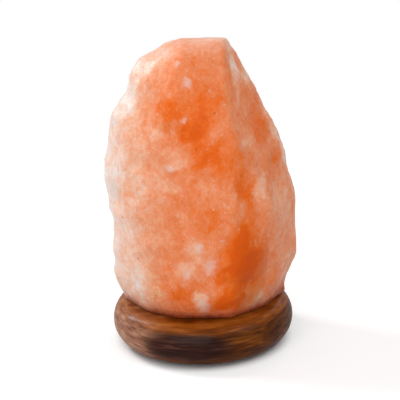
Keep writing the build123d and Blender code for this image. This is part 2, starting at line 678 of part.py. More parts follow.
def make_bulb_base():
    """Brass cap, the insulator that closes it below and the contact in its middle."""
    outer = BULB_CAP_RADIUS
    inner = outer - BULB_CAP_WALL
    foot = INSULATOR_FOOT_DIAMETER / 2
    save(ring(inner, outer, BULB_CAP_BOTTOM, BULB_CAP_TOP), "bulb_cap")
    insulator = turned([
        (0, INSULATOR_BOTTOM),
        (foot, INSULATOR_BOTTOM),
        (inner - SCREW_GAP, BULB_CAP_BOTTOM),
        (inner - SCREW_GAP, INSULATOR_BOTTOM + INSULATOR_HEIGHT),
        (0, INSULATOR_BOTTOM + INSULATOR_HEIGHT),
    ])
    save(insulator, "bulb_insulator")
    tip = TIP_DIAMETER / 2
    contact = turned([
        (0, BULB_BOTTOM),
        (tip * 0.6, BULB_BOTTOM),
        (tip, BULB_BOTTOM + TIP_HEIGHT * 0.6),
        (tip, INSULATOR_BOTTOM),
        (0, INSULATOR_BOTTOM),
    ])
    save(contact, "bulb_contact")


def make_bulb_inside():
    """Glass stem on its flare, two lead wires, the arched filament and its supports."""
    radius = STEM_DIAMETER / 2
    bottom = BULB_CAP_BOTTOM + INSULATOR_HEIGHT
    flare_rim = NECK_INNER_RADIUS - SEAT_GAP
    stem = turned([
        (0, bottom),
        (flare_rim, bottom),
        (flare_rim, bottom + GLASS_WALL),
        (radius, bottom + flare_rim),
        (radius, STEM_TOP),
        (0, STEM_TOP),
    ])
    save(stem, "bulb_stem")

    lead = LEAD_DIAMETER / 2
    foot_x = radius * 0.6
    top_x = LEAD_SPREAD / 2
    with BuildPart() as leads:
        for side in (-1, 1):
            with BuildLine() as path:
                FilletPolyline(
                    (side * foot_x, 0, STEM_TOP),
                    (side * foot_x, 0, STEM_TOP + LEAD_RISE * 0.25),
                    (side * top_x, 0, LEAD_TOP - LEAD_RISE * 0.15),
                    (side * top_x, 0, LEAD_TOP),
                    radius=LEAD_DIAMETER,
                )
            add(wire_along(path.wire(), lead))
    save(leads.part, "lead_wires")

    foot = LEAD_TOP + SEAT_GAP
    with BuildLine() as arch:
        ThreePointArc((-top_x, 0, foot), (0, 0, foot + FILAMENT_CROWN), (top_x, 0, foot))
    with BuildPart() as filament:
        add(wire_along(arch.wire(), FILAMENT_DIAMETER / 2))
    save(filament.part, "filament")

    crown = foot + FILAMENT_CROWN - FILAMENT_DIAMETER / 2
    support = ring(0, SUPPORT_DIAMETER / 2, STEM_TOP, crown - SEAT_GAP)
    save(support, "filament_support")


make_wooden_base()
make_feet()
make_fixing_screws()
make_salt_crystal()
make_holder_cap()
make_holder_shell()
make_terminal_block()
make_terminals()
make_rivets()
make_centre_contact()
make_screw_shell()
make_clip_bracket()
make_clip_wings()
make_bulb_glass()
make_bulb_base()
make_bulb_inside()
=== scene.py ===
from math import atan2, cos, hypot, pi, radians, sin

import bmesh
import bpy
import numpy as np
from mathutils import Matrix, Vector, noise


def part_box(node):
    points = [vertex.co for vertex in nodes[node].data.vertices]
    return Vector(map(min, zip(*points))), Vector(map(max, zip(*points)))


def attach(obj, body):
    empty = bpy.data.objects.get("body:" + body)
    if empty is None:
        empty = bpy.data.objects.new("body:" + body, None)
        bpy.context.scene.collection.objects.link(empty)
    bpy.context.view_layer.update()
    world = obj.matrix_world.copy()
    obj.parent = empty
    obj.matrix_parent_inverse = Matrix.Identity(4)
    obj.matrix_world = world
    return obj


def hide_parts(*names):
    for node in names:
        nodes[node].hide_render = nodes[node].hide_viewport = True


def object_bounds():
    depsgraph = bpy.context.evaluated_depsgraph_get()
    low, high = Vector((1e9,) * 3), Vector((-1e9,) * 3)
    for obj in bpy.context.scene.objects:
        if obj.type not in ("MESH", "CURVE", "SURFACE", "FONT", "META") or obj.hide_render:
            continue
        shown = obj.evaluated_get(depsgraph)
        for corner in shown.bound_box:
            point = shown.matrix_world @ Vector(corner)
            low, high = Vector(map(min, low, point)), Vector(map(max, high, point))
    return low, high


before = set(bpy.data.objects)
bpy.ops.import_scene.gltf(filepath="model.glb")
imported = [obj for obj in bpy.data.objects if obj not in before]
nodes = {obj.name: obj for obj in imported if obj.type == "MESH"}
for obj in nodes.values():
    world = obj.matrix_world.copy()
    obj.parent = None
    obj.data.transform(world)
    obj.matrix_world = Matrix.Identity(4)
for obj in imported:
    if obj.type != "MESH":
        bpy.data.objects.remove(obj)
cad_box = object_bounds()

# Looks for the salt crystal lamp. Lengths in this file are millimetres, unless a name or a
# comment says metres, and MM turns them into the metres that the frame is in.
MM = 0.001
scene = bpy.context.scene
scene.view_settings.view_transform = "Standard"


def box_mm(node):
    """The lowest and the highest corner of a CAD node, in millimetres."""
    return [[round(c / MM, 4) for c in corner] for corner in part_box(node)]


def new_object(name, data):
    thing = bpy.data.objects.new(name, data)
    scene.collection.objects.link(thing)
    return thing


def new_mesh(name, corners, faces):
    """A mesh from corners in millimetres."""
    mesh = bpy.data.meshes.new(name)
    mesh.from_pydata([tuple(c * MM for c in corner) for corner in corners], [], faces)
    return mesh


_, (BASE_RADIUS, _, BASE_TOP) = box_mm("wooden_base")
(_, _, CRYSTAL_FOOT), (_, _, CRYSTAL_TOP) = box_mm("salt_crystal")


# ---------------------------------------------------------------- camera

# The camera looks down on AIM by 18.8 degrees, rolled by two degrees. TILT and PAN bring the
# lamp to its place in the picture. AIM and DISTANCE are in metres.
AIM = Vector((0, 0, 0.1))
DISTANCE = 1.0
ELEVATION = radians(18.8)
ROLL = radians(-1.95)
TILT = radians(-0.611)
PAN = radians(-0.047)
SENSOR = 36
LENS = 150.1

camera_data = bpy.data.cameras.new("camera")
camera_data.sensor_width = SENSOR
camera_data.lens = LENS
camera = new_object("camera", camera_data)
scene.camera = camera
stand = AIM + DISTANCE * Vector((0, -cos(ELEVATION), sin(ELEVATION)))
camera.matrix_world = (
    Matrix.Translation(stand)
    @ Matrix.Rotation(pi / 2 - ELEVATION, 4, "X")
    @ Matrix.Rotation(ROLL, 4, "Z")
    @ Matrix.Rotation(TILT, 4, "X")
    @ Matrix.Rotation(PAN, 4, "Y")
)


# ---------------------------------------------------------------- materials

def srgb(red, green, blue):
    """A colour given as 0 to 255 in sRGB, as the linear colour that a socket takes."""
    def linear(c):
        c /= 255
        return c / 12.92 if c <= 0.04045 else ((c + 0.055) / 1.055) ** 2.4
    return (linear(red), linear(green), linear(blue), 1.0)


class Look:
    """A node material, made from its object's own coordinates in millimetres."""

    def __init__(self, name, **settings):
        self.material = bpy.data.materials.new(name)
        self.material.use_nodes = True
        self.tree = self.material.node_tree
        self.shader = self.tree.nodes["Principled BSDF"]
        self.mm = self.vector("SCALE", self.node("TexCoord").outputs["Object"], scale=1 / MM)
        self.set(**settings)

    def node(self, kind):
        return self.tree.nodes.new("ShaderNode" + kind)

    def put(self, socket, value):
        if isinstance(value, bpy.types.NodeSocket):
            self.tree.links.new(value, socket)
        else:
            socket.default_value = value

    def set(self, **settings):
        """Sets the shader's sockets, by their names in lower case with underscores."""
        for name, value in settings.items():
            socket = next(
                s for s in self.shader.inputs if s.name.lower().replace(" ", "_") == name
            )
            self.put(socket, value)

    def math(self, operation, a, b=0.0, c=0.0, clamp=False):
        node = self.node("Math")
        node.operation = operation
        node.use_clamp = clamp
        for socket, value in zip(node.inputs, (a, b, c)):
            self.put(socket, value)
        return node.outputs[0]

    def add(self, *values):
        total = values[0]
        for value in values[1:]:
            total = self.math("ADD", total, value)
        return total

    def times(self, a, b):
        return self.math("MULTIPLY", a, b)

    def most(self, a, b):
        return self.math("MAXIMUM", a, b)

    def vector(self, operation, a, b=(0, 0, 0), scale=1.0):
        node = self.node("VectorMath")
        node.operation = operation
        self.put(node.inputs[0], a)
        if operation == "SCALE":
            self.put(node.inputs["Scale"], scale)
        elif operation != "LENGTH":
            self.put(node.inputs[1], b)
        return node.outputs["Value" if operation == "LENGTH" else "Vector"]

    def axis(self, name, at=None):
        node = self.node("SeparateXYZ")
        self.put(node.inputs[0], at or self.mm)
        return node.outputs[name]

    def grid(self, size, at, stretch):
        """Coordinates that count lumps of that size, made longer along an axis by stretch."""
        return self.vector("DIVIDE", at or self.mm, tuple(size * s for s in stretch))

    def noise(self, size, detail=2.0, at=None, stretch=(1, 1, 1), roughness=0.5, out="Fac"):
        """Noise from 0 to 1 with lumps of about that size."""
        node = self.node("TexNoise")
        self.put(node.inputs["Vector"], self.grid(size, at, stretch))
        self.put(node.inputs["Scale"], 1.0)
        self.put(node.inputs["Detail"], detail)
        self.put(node.inputs["Roughness"], roughness)
        return node.outputs[out]

    def cells(self, size, at=None, out="Distance", stretch=(1, 1, 1)):
        """Cells of about that size, each with its own colour, or the distance to a middle."""
        node = self.node("TexVoronoi")
        self.put(node.inputs["Vector"], self.grid(size, at, stretch))
        self.put(node.inputs["Scale"], 1.0)
        return node.outputs[out]

    def centred(self, value, amount):
        """A value from 0 to 1, moved to -amount/2 to amount/2."""
        return self.math("MULTIPLY_ADD", value, amount, -amount / 2)

    def warp(self, size, detail):
        """A push along all three axes that changes over about that size."""
        return self.vector("SUBTRACT", self.noise(size, detail, out="Color"), (0.5, 0.5, 0.5))

    def pushed(self, warp, reach):
        """The object's own coordinates, moved by a warp that is scaled by reach."""
        return self.vector("ADD", self.mm, self.vector("MULTIPLY", warp, reach))

    def span(self, value, low, high, to_low=0.0, to_high=1.0):
        """A smooth step from to_low to to_high, as value goes from low to high."""
        node = self.node("MapRange")
        node.interpolation_type = "SMOOTHSTEP"
        for socket, number in zip(node.inputs, (value, low, high, to_low, to_high)):
            self.put(socket, number)
        return node.outputs[0]

    def zone(self, centre, radii, at=None, turn=0.0, core=0.45):
        """1 inside an ellipsoid's core, falling to 0 at its edge. turn leans it to the left."""
        node = self.node("Mapping")
        node.vector_type = "TEXTURE"
        self.put(node.inputs["Vector"], at or self.mm)
        node.inputs["Location"].default_value = centre
        node.inputs["Rotation"].default_value = (0, radians(-turn), 0)
        node.inputs["Scale"].default_value = radii
        return self.span(self.vector("LENGTH", node.outputs[0]), core, 1.0, 1.0, 0.0)

    def ramp(self, value, *stops):
        """Colours at their places between 0 and 1, the places in rising order."""
        node = self.node("ValToRGB")
        self.put(node.inputs[0], value)
        points = node.color_ramp.elements
        while len(points) < len(stops):
            points.new(0.5)
        for point, (place, colour) in zip(points, stops):
            point.position = place
            point.color = srgb(*colour)
        return node.outputs[0]

    def mix(self, share, a, b, blend="MIX"):
        """Colour a where share is 0, and b, or a blended with b, where it is 1."""
        node = self.node("Mix")
        node.data_type = "RGBA"
        node.blend_type = blend
        factor, first, second = 0, 6, 7
        for index, value in ((factor, share), (first, a), (second, b)):
            self.put(node.inputs[index], value)
        return node.outputs[2]

    def tinted(self, share, colour, tint):
        """The colour multiplied by a tint where share is 1."""
        return self.mix(share, colour, self.mix(1.0, colour, srgb(*tint), "MULTIPLY"))

    def bump(self, height, depth):
        """Relief of that depth, where height goes from 0 to 1."""
        node = self.node("Bump")
        self.put(node.inputs["Height"], height)
        node.inputs["Strength"].default_value = 1.0
        node.inputs["Distance"].default_value = depth * MM
        self.put(self.shader.inputs["Normal"], node.outputs[0])


def dress(look, *names):
    """Gives CAD nodes a look."""
    for name in names:
        for material_slot in nodes[name].material_slots:
            material_slot.material = look.material


# ---------------------------------------------------------------- stage and light

FLOOR_HALF = 3000
# How far from the lamp's axis the floor starts and ends to fade into the white background
FADE_START = 250
FADE_END = 600
# How strong the light is that comes from all round
WORLD_LIGHT = 0.36


def make_stage():
    """A plain pale floor."""
    half = FLOOR_HALF
    corners = [(-half, -half, 0), (half, -half, 0), (half, half, 0), (-half, half, 0)]
    mesh = new_mesh("floor", corners, [(0, 1, 2, 3)])
    new_object("floor", mesh)
    look = Look("floor")
    path = look.node("LightPath").outputs
    seen = look.add(
        path["Is Camera Ray"], path["Is Glossy Ray"], path["Is Transmission Ray"]
    )
    from_axis = look.vector("LENGTH", look.mm)
    away = look.span(from_axis, FADE_START, FADE_END)
    paper = look.mix(away, srgb(225, 225, 225), (0, 0, 0, 1))
    diffuse = look.node("BsdfDiffuse")
    look.put(diffuse.inputs["Color"], look.mix(seen, srgb(205, 205, 205), paper))
    # A lift towards white, which the floor under the base goes without
    lift = look.node("Emission")
    open_floor = look.span(from_axis, BASE_RADIUS - 9, BASE_RADIUS + 1)
    glow = look.times(look.span(away, 0, 1, 0.42, 1.0), open_floor)
    look.put(lift.inputs["Strength"], look.times(seen, glow))
    both = look.node("AddShader")
    look.put(both.inputs[0], diffuse.outputs[0])
    look.put(both.inputs[1], lift.outputs[0])
    # From below, the floor doesn't hide the lamp's underside.
    sides = look.node("MixShader")
    behind = look.node("NewGeometry").outputs["Backfacing"]
    look.put(sides.inputs[0], look.times(behind, path["Is Camera Ray"]))
    look.put(sides.inputs[1], both.outputs[0])
    look.put(sides.inputs[2], look.node("BsdfTransparent").outputs[0])
    look.put(look.tree.nodes["Material Output"].inputs["Surface"], sides.outputs[0])
    mesh.materials.append(look.material)


def make_world():
    """White where it is seen, also mirrored or through glass, and WORLD_LIGHT as a light."""
    world = bpy.data.worlds.new("studio")
    scene.world = world
    world.use_nodes = True
    tree = world.node_tree
    path = tree.nodes.new("ShaderNodeLightPath").outputs
    seen = path["Is Camera Ray"]
    for name in ("Is Glossy Ray", "Is Transmission Ray"):
        either = tree.nodes.new("ShaderNodeMath")
        either.operation = "MAXIMUM"
        tree.links.new(seen, either.inputs[0])
        tree.links.new(path[name], either.inputs[1])
        seen = either.outputs[0]
    level = tree.nodes.new("ShaderNodeMapRange")
    tree.links.new(seen, level.inputs[0])
    level.inputs["To Min"].default_value = WORLD_LIGHT
    level.inputs["To Max"].default_value = 1.0
    background = tree.nodes["Background"]
    background.inputs["Color"].default_value = (1, 1, 1, 1)
    tree.links.new(level.outputs[0], background.inputs["Strength"])


def make_lamp(name, place, size, power, aim=AIM):
    """A square soft light, in metres and watts, that points at aim."""
    data = bpy.data.lights.new(name, "AREA")
    data.size = size
    data.energy = power
    lamp = new_object(name, data)
    lamp.location = place
    lamp.rotation_euler = (Vector(aim) - Vector(place)).to_track_quat("-Z", "Y").to_euler()
    return lamp


make_stage()
make_world()
make_lamp("key", (-1.1, 0.55, 1.22), 0.45, 11)
make_lamp("front", (-0.5, -1.6, 0.9), 1.6, 18)
make_lamp("right", (1.1, -0.6, 1.3), 0.9, 5)
make_lamp("back", (0.6, 1.3, 0.9), 0.8, 3)
# This one is only mirrored, by gloss such as the wood's lacquer.
glint = make_lamp("glint", (-0.91, 0.55, 0.63), 0.28, 7, (-0.04, 0, 0.02))
glint.visible_diffuse = False


# ---------------------------------------------------------------- salt crystal: colours

# Where the orange is deeper than around it, or paler where the amount is negative: centre,
# radii, lean to the left in degrees, and the amount, which PATCH_STRENGTH multiplies
PATCH_STRENGTH = 1.15
PATCHES = [
    # the orange band under the crown
    ((2, -34, 158), (20, 24, 20), 0, 0.16),
    ((-15, -32, 154), (12, 20, 13), 0, 0.14),
    ((3, -38, 148), (8, 16, 11), 0, 0.16),
    ((-4, -38, 142), (9, 16, 8), 0, 0.26),
    ((4, -40, 134), (10, 16, 15), 0, 0.18),
    ((15, -41, 128), (12, 16, 15), 0, 0.15),
    ((0, -41, 128), (9, 14, 12), 0, 0.12),
    ((0, -41, 122), (8, 14, 8), 0, 0.08),
    # deeper places on the flanks
    ((-44, -22, 101), (9, 20, 15), 0, 0.12),
    ((36, -12, 136), (9, 18, 16), 0, 0.14),
    ((44, -8, 118), (8, 16, 11), 0, 0.16),
    # the burnt column down the ridge, and what runs out from it
    ((26, -37, 108), (7, 16, 16), 0, 0.16),
    ((30, -35, 97), (7, 14, 12), 0, 0.14),
    ((26, -41, 84), (11, 16, 14), 0, 0.16),
    ((24, -43, 64), (14, 18, 28), 0, 0.28),
    ((35, -34, 60), (9, 16, 27), 0, 0.18),
    ((20, -44, 58), (17, 18, 32), 0, 0.1),
    ((7, -45, 90), (12, 16, 11), 0, 0.14),
    ((9, -45, 58), (6, 14, 17), 0, 0.12),
    # deeper places near the foot
    ((-31, -32, 46), (9, 16, 10), 0, 0.1),
    ((-13, -41, 44), (13, 16, 10), 0, 0.18),
    ((16, -42, 40), (11, 16, 10), 0, 0.22),
    # painted rim light along the thin right edge
    ((42, -1, 142), (5, 9, 12), 30, -0.24),
    ((47, 0, 130), (5, 9, 12), 20, -0.24),
    ((51, 1, 117), (5, 9, 12), 15, -0.24),
    # the knob at the top, and painted light on the ridge's edge below it
    ((22, -5, 187), (9, 14, 6), 0, -0.14),
    ((22, -9, 177), (5, 10, 8), 0, -0.28),
    ((24, -15, 173), (5, 12, 13), -8, -0.22),
    ((31, -4, 166), (7, 16, 11), -20, -0.3),
    ((25, -24, 163), (4, 14, 15), -8, -0.16),
    # paler places on the left, from the crown down; the two highest are painted light on the lit
    # upper left
    ((-28, -4, 182), (24, 40, 20), 40, -0.24),
    ((-39, -8, 157), (11, 18, 20), 20, -0.2),
    ((-24, -32, 141), (7, 12, 6), 0, -0.14),
    ((-13, -38, 128), (13, 14, 9), 0, -0.16),
    ((-17, -39, 113), (13, 14, 9), 0, -0.12),
    ((-35, -28, 46), (13, 20, 19), 0, -0.14),
    # paler places in the middle and on the right
    ((29, -30, 134), (7, 14, 9), 0, -0.14),
    ((36, -29, 106), (7, 14, 17), -8, -0.22),
    ((46, -18, 94), (9, 16, 15), 0, -0.12),
    ((-3, -45, 72), (8, 14, 13), 0, -0.2),
    ((-9, -45, 61), (8, 12, 8), 0, -0.2),
    ((-1, -42, 40), (7, 14, 10), 0, -0.3),
    ((35, -28, 33), (11, 16, 8), 0, -0.26),
]

# Lumps of white salt: centre, radii, lean to the left in degrees
WHITE_LUMPS = [
    ((-17, -18, 184), (6, 16, 4), 30),
    ((-10, -24, 179), (3, 16, 2.6), 0),
    ((-5, -29, 170), (5, 16, 3.6), 30),
    ((-7, -36, 150), (1.8, 16, 2.6), 0),
    ((-17, -39, 122), (5, 16, 3), 0),
    ((-1, -46, 75), (3.5, 16, 5.5), 8),
    ((5, -46, 63), (6.5, 16, 7.5), -12),
    ((-9, -45, 58), (3.6, 16, 5), 10),
    ((1, -42, 36), (5, 16, 10), 0),
]


def uneven_height(look, size, detail, swing):
    """The height above the floor, made uneven by noise of that size."""
    return look.add(look.axis("Z"), look.centred(look.noise(size, detail), swing))


def orange_depth(look, drift, bent):
    """How deep the orange is: 0 is nearly white and 1 is burnt orange."""
    deep = look.add(
        # It is palest on the left flank, partly whiter salt and partly painted light from the
        # left.
        # Its paling towards the right edge and the crown is painted rim light on those thin edges.
        look.span(look.axis("X"), -62, -12, 0.02, 0.6),
        look.span(look.axis("X"), 38, 60, 0.0, -0.18),
        look.span(look.axis("Z"), 178, 191, 0.0, -0.15),
        0.03,
        # The back has broad patches of its own.
        look.times(look.span(look.axis("Y"), -6, 18), look.add(
            look.centred(look.noise(30, 3, drift, (1, 1, 1.8)), 0.9), 0.06,
        )),
        # Clouds, then lumps, then grains
        look.centred(look.noise(24, 2), 0.2),
        look.centred(look.noise(7, 3, drift, (1, 1, 1.5)), 0.32),
        look.centred(look.noise(2.4, 3), 0.2),
        look.centred(look.noise(1.1, 1), 0.12),
        # Crystals of two sizes, each with its own depth
        look.centred(look.axis("X", look.cells(3.4, bent, "Color", (1, 1, 1.4))), 0.1),
        look.centred(look.axis("Y", look.cells(1.7, bent, "Color")), 0.1),
    )
    for centre, radii, lean, amount in PATCHES:
        here = look.zone(centre, radii, drift, lean, core=0.25)
        deep = look.math("MULTIPLY_ADD", here, amount * PATCH_STRENGTH, deep)
    return deep


def white_salt_and_painted_light(look, deep, drift, bent, ragged):
    """Where it is white: specks, partly white salt and partly painted glints, and wisps where the
    orange isn't deep; the crest, painted rim light, and a few lumps of white salt anywhere."""
    # Specks are partly white grains and partly painted glints, crowded on the crust low on the
    # left.
    speck_and_glint = look.times(
        look.span(look.noise(1.2, 2, bent, (1, 1, 1.3), 0.6), 0.6, 0.7),
        look.most(
            look.span(look.noise(8, 3), 0.52, 0.62), look.zone((-31, -33, 44), (11, 16, 16)),
        ),
    )
    wisp = look.times(
        look.span(look.noise(2.6, 4, bent, (1, 1, 3), 0.6), 0.54, 0.74),
        look.span(look.noise(15, 2, drift), 0.45, 0.65),
    )
    # The crest is painted rim light: the crown's thin top edge made pale.
    painted_crest_light = look.span(uneven_height(look, 5, 3, 8), 182, 191)
    white = look.most(look.times(speck_and_glint, 0.8), look.times(wisp, 0.2))
    white = look.times(white, look.span(deep, 0.7, 0.95, 1.0, 0.1))
    white = look.most(white, look.times(painted_crest_light, 0.3))
    for centre, radii, lean in WHITE_LUMPS:
        lump = look.zone(centre, radii, ragged, lean, core=0.1)
        white = look.most(white, look.times(lump, 0.66))
    return white


def crystal_look():
    """Rock salt: light goes a few millimetres into it, and it is hardly glossy."""
    look = Look(
        "rock_salt", ior=1.54, specular_ior_level=0.12, subsurface_weight=0.3,
        subsurface_radius=(1.0, 0.42, 0.2), subsurface_scale=5 * MM, sheen_weight=0.15,
        sheen_roughness=0.25,
    )
    broad, fine = look.warp(12, 3), look.warp(3, 3)
    drift = look.pushed(broad, (14, 14, 14))
    ragged = look.pushed(fine, (7, 7, 7))
    bent = look.pushed(fine, (3, 3, 3))

    deep = orange_depth(look, drift, bent)
    colour = look.ramp(
        deep,
        (0.0, (247, 232, 226)), (0.2, (247, 205, 184)), (0.4, (246, 174, 137)),
        (0.55, (243, 150, 104)), (0.7, (240, 130, 72)), (0.85, (240, 110, 24)),
        (1.0, (232, 95, 0)),
    )

    # A crust low on the left, in pale yellowish patches that are partly the crust's colour and
    # partly painted glints
    crust_and_glints = look.times(
        look.zone((-31, -33, 45), (13, 16, 18), drift),
        look.span(look.noise(2.4, 3, bent, roughness=0.6), 0.52, 0.66),
    )
    colour = look.mix(look.times(crust_and_glints, 0.75), colour, srgb(246, 196, 138))

    # White salt, with painted glints in the specks and painted rim light on the crest
    white = white_salt_and_painted_light(look, deep, drift, bent, ragged)
    colour = look.mix(look.times(white, 0.8), colour, srgb(236, 214, 206))

    # Browner low on the ridge, then painted shade: redder and darker at the foot, and a dark
    # painted contact shadow where it meets the wood
    brown = look.zone((28, -39, 54), (20, 24, 36), drift, core=0.3)
    colour = look.tinted(look.times(brown, 0.75), colour, (224, 214, 150))
    painted_foot_shade = look.span(
        uneven_height(look, 5, 2, 8), CRYSTAL_FOOT + 1.9, CRYSTAL_FOOT + 18.9, 1, 0,
    )
    colour = look.tinted(look.times(painted_foot_shade, 0.75), colour, (216, 190, 178))
    painted_contact_shadow = look.span(
        uneven_height(look, 4, 2, 4), CRYSTAL_FOOT + 0.4, CRYSTAL_FOOT + 5.9, 1, 0,
    )
    colour = look.tinted(look.times(painted_contact_shadow, 0.8), colour, (158, 112, 92))

    # A few dark grains of other rock
    grain = look.times(
        look.span(look.cells(11), 0.035, 0.07, 1.0, 0.0),
        look.span(look.noise(23, 1), 0.5, 0.6),
    )
    colour = look.mix(look.times(grain, 0.75), colour, srgb(110, 62, 40))
    look.set(base_color=colour)
    look.set(roughness=look.span(look.noise(6, 3, drift), 0.3, 0.7, 0.3, 0.54))
    look.bump(
        look.add(look.times(look.noise(4.5, 3), 0.6), look.times(look.noise(1.3, 2), 0.4)),
        depth=0.7,
    )
    return look


# ---------------------------------------------------------------- salt crystal: shape

CAVITY_RADIUS = 25.0
CAVITY_TOP = 112.0
# How large the quads of the crystal's surface are, and how many rounds of smoothing wear its
# edges off
FULL_SURFACE = (1.15, 22)
# The outline is followed at heights this far apart, and its broad part is an average over
# this many of them.
LEVEL_PACE = 1.5
BROAD = 17
# The noise that bends the chips' edges takes a seed.
CHIP_SEED = 7

# The outline of the crystal as it is seen from the front, with its chips and steps:
# height above the floor, reach to the left, reach to the right
OUTLINE = [
    (27, 47.5, 50.5), (31, 49.0, 51.0), (38, 51.3, 53.0), (46, 53.0, 55.6), (54, 52.6, 58.1),
    (62, 53.6, 58.7), (67, 52.6, 58.6), (74, 51.8, 57.4), (80, 52.4, 57.7), (86, 54.5, 58.2),
    (93, 54.7, 57.3), (100, 55.4, 55.7), (108, 56.6, 53.1), (116, 56.1, 52.4), (124, 54.0, 50.4),
    (131, 52.8, 47.8), (139, 51.7, 44.4), (145, 50.4, 41.1), (149, 47.0, 39.4), (153, 45.6, 37.7),
    (156, 42.3, 36.5), (160, 40.7, 34.7), (167, 39.5, 30.2), (171, 37.8, 28.0), (174, 35.5, 26.6),
    (178, 32.2, 25.0), (181, 26.3, 23.7), (185, 21.5, 21.8), (188, 12.0, 20.5), (190.1, 8.0, 19.5),
]


def welded(node):
    """A copy of a CAD node's mesh with its split corners joined."""
    shape = bmesh.new()
    shape.from_mesh(nodes[node].data)
    bmesh.ops.remove_doubles(shape, verts=shape.verts, dist=1e-7)
    mesh = bpy.data.meshes.new(node + "_welded")
    shape.to_mesh(mesh)
    shape.free()
    return mesh


def evaluated_mesh(thing):
    """The mesh that an object's modifiers make."""
    graph = bpy.context.evaluated_depsgraph_get()
    return bpy.data.meshes.new_from_object(thing.evaluated_get(graph))


def remeshed(mesh, size):
    """The same shape as even small quads."""
    holder = new_object("remesh", mesh)
    modifier = holder.modifiers.new("remesh", "REMESH")
    modifier.mode = "VOXEL"
    modifier.voxel_size = size * MM
    result = evaluated_mesh(holder)
    bpy.data.objects.remove(holder)
    return result


def corner_values(mesh, name):
    """A value of each of the mesh's corners, such as its place, as rows of three."""
    values = np.empty(len(mesh.vertices) * 3)
    mesh.vertices.foreach_get(name, values)
    return values.reshape(-1, 3)


def step(value, low, high):
    """A smooth step from 0 to 1, for numbers and arrays."""
    t = np.clip((value - low) / (high - low), 0, 1)
    return t * t * (3 - 2 * t)


def within(value, inner, outer):
    """1 up to inner, falling smoothly to 0 at outer."""
    return step(-value, -outer, -inner)


def wear_edges(mesh, at, outside, rounds):
    """Moves corners towards the middle of their neighbours, which rounds the edges off."""
    edges = np.empty(len(mesh.edges) * 2, dtype=int)
    mesh.edges.foreach_get("vertices", edges)
    edges = edges.reshape(-1, 2)
    beside = np.bincount(edges.ravel(), minlength=len(at))[:, None]
    for _ in range(rounds):
        total = np.zeros_like(at)
        np.add.at(total, edges[:, 0], at[edges[:, 1]])
        np.add.at(total, edges[:, 1], at[edges[:, 0]])
        at += (total / beside - at) * outside[:, None] * 0.5


def shape_crown(at, outside):
    """Lifts the worn top back to its height, and lets the crown fall away to the back."""
    peak = at[:, 2].max()
    at[:, 2] += outside * step(at[:, 2], 174, peak) * (CRYSTAL_TOP - 0.1 - peak)
    crown = outside * step(at[:, 2], 176, 187)
    at[:, 2] -= crown * np.clip(at[:, 1] + 10, 0, 24) * 0.13


def follow_outline(at, outside):
    """Moves each side to the outline: broadly all over that side, and with its chips and
    steps only near the line that the front view sees as the edge, which sways."""
    edge_width, sway, sway_length = 11, 6, 14
    levels = np.arange(CRYSTAL_FOOT, CRYSTAL_TOP + 0.9, LEVEL_PACE)
    wander = np.array([sway * noise.noise(Vector((0, 0, z / sway_length))) for z in levels])
    heights, *reaches = zip(*OUTLINE)
    for side, reach_there in zip((-1, 1), reaches):
        aims = np.interp(levels, heights, reach_there)
        reach = np.array([
            (side * at[abs(at[:, 2] - level) < LEVEL_PACE, 0]).max(initial=1.0)
            for level in levels
        ])
        miss = aims - reach
        padded = np.pad(miss, BROAD // 2, mode="edge")
        broad = np.convolve(padded, np.ones(BROAD) / BROAD, mode="valid")
        now = np.interp(at[:, 2], levels, reach)
        share = outside * step(side * at[:, 0] / now, 0.35, 1.0)
        line = np.interp(at[:, 2], levels, 3 * side + wander)
        near = np.exp(-((at[:, 1] - line) / edge_width) ** 2)
        move = np.interp(at[:, 2], levels, broad)
        move += near * np.interp(at[:, 2], levels, miss - broad)
        at[:, 0] += np.where(side * at[:, 0] > 0, share * side * move, 0)


def hewn_relief(at, outside):
    """How far each corner stands out: shallow shell-shaped chips, lumps and grains."""
    chip_size, bend_size, lump_size, grain_size = 15, 20, 19, 4.3
    chip_height, lump_height, grain_height = 0.42, 1.0, 0.26
    noise.seed_set(CHIP_SEED)
    relief = np.zeros(len(at))
    for i in np.flatnonzero(outside):
        p = Vector(at[i])
        bend = noise.noise_vector(p / bend_size) * 0.25
        to_nearest = noise.voronoi(p / chip_size + bend)[0][0]
        chip = min(to_nearest, 0.75) ** 2 * 2.4 - 1.0
        lump = noise.fractal(p / lump_size, 1.0, 2.1, 3)
        grain = noise.fractal(p / grain_size + Vector((7, 3, 1)), 1.0, 2.0, 2)
        relief[i] = chip_height * chip + lump_height * lump + grain_height * grain
    return relief * outside


def make_crystal():
    """The hewn block. Only its outside is rough: the cavity and the foot stay as cut."""
    quad_size, wear_rounds = FULL_SURFACE
    mesh = remeshed(welded("salt_crystal"), quad_size)
    at = corner_values(mesh, "co") / MM
    normal = corner_values(mesh, "normal")
    # Up to just over the cavity's top, what lies near the axis is the cavity's wall.
    radius = np.hypot(at[:, 0], at[:, 1])
    outside = np.where(
        at[:, 2] < CAVITY_TOP + 4, step(radius, CAVITY_RADIUS + 8, CAVITY_RADIUS + 11), 1.0
    )
    outside *= step(at[:, 2], CRYSTAL_FOOT, CRYSTAL_FOOT + 3)

    wear_edges(mesh, at, outside, wear_rounds)
    shape_crown(at, outside)
    follow_outline(at, outside)
    at += normal * hewn_relief(at, outside)[:, None]
    # It stays a little inside the box of the CAD model.
    at[:, 0] = np.clip(at[:, 0], cad_box[0][0] / MM + 0.1, cad_box[1][0] / MM - 0.1)
    at[:, 2] = np.clip(at[:, 2], CRYSTAL_FOOT, CRYSTAL_TOP - 0.05)

    mesh.vertices.foreach_set("co", (at * MM).ravel())
    mesh.update()
    mesh.shade_smooth()
    mesh.materials.clear()
    mesh.materials.append(crystal_look().material)
    crystal = new_object("rough_crystal", mesh)
    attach(crystal, "lamp_body")
    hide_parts("salt_crystal")


make_crystal()


# ---------------------------------------------------------------- wood

